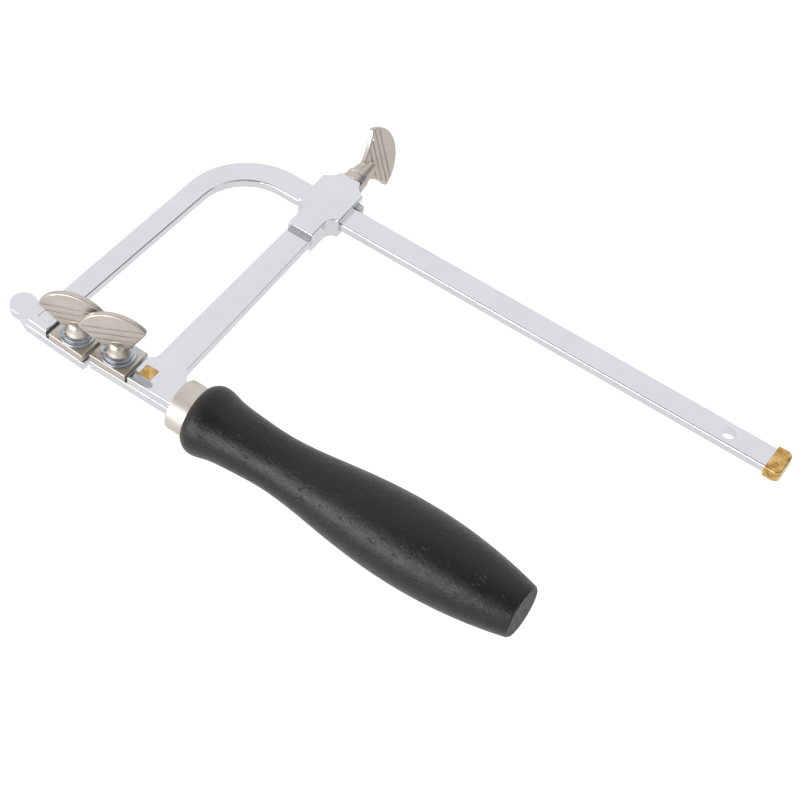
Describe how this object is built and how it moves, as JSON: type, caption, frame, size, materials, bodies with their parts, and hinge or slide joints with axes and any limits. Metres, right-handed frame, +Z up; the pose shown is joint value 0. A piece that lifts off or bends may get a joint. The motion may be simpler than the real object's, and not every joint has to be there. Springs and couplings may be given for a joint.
{
  "type": "piercing saw frame",
  "caption": "Adjustable hand saw frame: flat bar frame sliding through a clamp, wing-screw blade clamps on both arms and a turned black handle.",
  "frame": {"origin": "middle of the bounding box's footprint, at its lowest height: the saw lies flat on a level surface", "axes": "+X along the handle and the frame's spine, from the blade end to the handle's butt; +Y from the handle's axis to the spine; +Z up, out of the plane of the frame, on the side of the clamp screws"},
  "size_m": [0.2097, 0.1316, 0.0317],
  "materials": {
    "frame_bar": "bright polished plating",
    "end_cap": "plain brass",
    "front_clamp_bar": "bright polished plating",
    "front_stud": "bright polished plating",
    "front_guide_pin": "ground steel",
    "front_jaw": "satin nickel plating",
    "front_washer": "bluish zinc plating",
    "front_spring_washer": "bluish zinc plating",
    "front_thumbscrew": "satin nickel plating",
    "rear_arm": "bright polished plating",
    "rear_clamp_bar": "bright polished plating",
    "rear_stud": "plain brass",
    "rear_guide_pin": "ground steel",
    "rear_jaw": "satin nickel plating",
    "rear_washer": "bluish zinc plating",
    "rear_spring_washer": "bluish zinc plating",
    "rear_thumbscrew": "satin nickel plating",
    "slider": "bright polished plating",
    "pressure_shoe": "satin nickel plating",
    "slider_washer": "satin nickel plating",
    "slider_thumbscrew": "satin nickel plating",
    "ferrule": "satin nickel plating",
    "handle": "black gloss paint over open grain"
  },
  "bodies": {
    "handle_and_rear_arm": {"handle": "handle", "ferrule": "ferrule", "rear_clamp_bar": "rear_clamp_bar", "rear_arm": "rear_arm", "rear_stud": "rear_stud", "rear_guide_pin": "rear_guide_pin", "slider": "slider"},
    "frame": {"frame_bar": "frame_bar", "end_cap": "end_cap", "front_clamp_bar": "front_clamp_bar", "front_stud": "front_stud", "front_guide_pin": "front_guide_pin"},
    "front_jaw": {"front_jaw": "front_jaw", "front_washer": "front_washer", "front_spring_washer": "front_spring_washer"},
    "front_screw": {"front_thumbscrew": "front_thumbscrew"},
    "rear_jaw": {"rear_jaw": "rear_jaw", "rear_washer": "rear_washer", "rear_spring_washer": "rear_spring_washer"},
    "rear_screw": {"rear_thumbscrew": "rear_thumbscrew"},
    "pressure_shoe": {"pressure_shoe": "pressure_shoe"},
    "slider_screw": {"slider_thumbscrew": "slider_thumbscrew", "slider_washer": "slider_washer"}
  },
  "joints": [
    {"name": "frame_slide", "type": "slide", "parent": "handle_and_rear_arm", "child": "frame", "axis": [-1, 0, 0], "range_m": [0, 0.1425]},
    {"name": "front_jaw_lift", "type": "slide", "parent": "frame", "child": "front_jaw", "axis": [0, 0, 1], "range_m": [0, 0.00026388]},
    {"name": "front_screw_turn", "type": "hinge", "parent": "front_jaw", "child": "front_screw", "pos_m": [-0.07976, -0.05301, 0.01605], "axis": [0, 0, 1], "range_deg": [0, 95]},
    {"name": "rear_jaw_lift", "type": "slide", "parent": "handle_and_rear_arm", "child": "rear_jaw", "axis": [0, 0, 1], "range_m": [0, 0.00027777]},
    {"name": "rear_screw_turn", "type": "hinge", "parent": "rear_jaw", "child": "rear_screw", "pos_m": [-0.0663, -0.05158, 0.01605], "axis": [0, 0, 1], "range_deg": [0, 100]},
    {"name": "shoe_lift", "type": "slide", "parent": "handle_and_rear_arm", "child": "pressure_shoe", "axis": [0, 1, 0], "range_m": [0, 0.00144]},
    {"name": "slider_screw_turn", "type": "hinge", "parent": "pressure_shoe", "child": "slider_screw", "pos_m": [-0.05235, 0.04428, 0.0132], "axis": [0, 1, 0], "range_deg": [0, 520]}
  ],
  "couplings": [
    {"joint": "front_screw_turn", "follows": "front_jaw_lift", "rad_per_m": 6283.2},
    {"joint": "rear_screw_turn", "follows": "rear_jaw_lift", "rad_per_m": 6283.2},
    {"joint": "slider_screw_turn", "follows": "shoe_lift", "rad_per_m": 6283.2}
  ]
}
